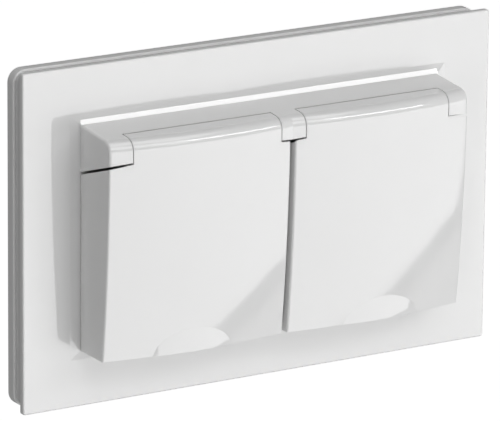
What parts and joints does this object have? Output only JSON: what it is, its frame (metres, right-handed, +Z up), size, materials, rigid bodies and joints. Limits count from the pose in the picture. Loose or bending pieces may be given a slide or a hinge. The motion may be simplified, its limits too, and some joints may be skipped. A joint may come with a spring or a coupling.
{
  "type": "wall socket",
  "caption": "Horizontal double earthed wall socket with two upward-opening spring-closed lids, on a flush-box base.",
  "frame": {"origin": "centre of the backing frame's rear face, on the wall's surface", "axes": "+X to the right along the plate, +Y into the wall, +Z up"},
  "size_m": [0.1252, 0.0509, 0.0804],
  "materials": {
    "white_plastic": "glossy moulded white plastic",
    "base_plastic": "matte moulded thermoset plastic",
    "zinc_steel": "zinc plated steel sheet and screws",
    "brass": "stamped brass",
    "spring_steel": "drawn steel wire"
  },
  "bodies": {
    "socket": {"cover_frame": "white_plastic", "backing_frame": "white_plastic", "socket_front": "white_plastic", "floor_plates": "white_plastic", "socket_base": "base_plastic", "rear_cover": "base_plastic", "support_frame": "zinc_steel", "cover_screws": "zinc_steel", "base_screws": "zinc_steel", "terminal_screws": "zinc_steel", "earth_rivet": "zinc_steel", "hinge_pin_left": "zinc_steel", "hinge_pin_right": "zinc_steel", "line_rail": "brass", "neutral_rail": "brass", "earth_strap": "brass", "lid_spring_left": "spring_steel", "lid_spring_right": "spring_steel"},
    "lid_left": {"lid_left": "white_plastic"},
    "lid_right": {"lid_right": "white_plastic"}
  },
  "joints": [
    {"name": "lid_left_hinge", "type": "hinge", "parent": "socket", "child": "lid_left", "pos_m": [0, -0.0196, 0.0224], "axis": [-1, 0, 0], "range_deg": [0, 100], "stiffness_Nm_per_rad": 0.004, "springref_deg": -34.38, "deforming": ["lid_spring_left"]},
    {"name": "lid_right_hinge", "type": "hinge", "parent": "socket", "child": "lid_right", "pos_m": [0, -0.0196, 0.0224], "axis": [-1, 0, 0], "range_deg": [0, 100], "stiffness_Nm_per_rad": 0.004, "springref_deg": -34.38, "deforming": ["lid_spring_right"]}
  ]
}
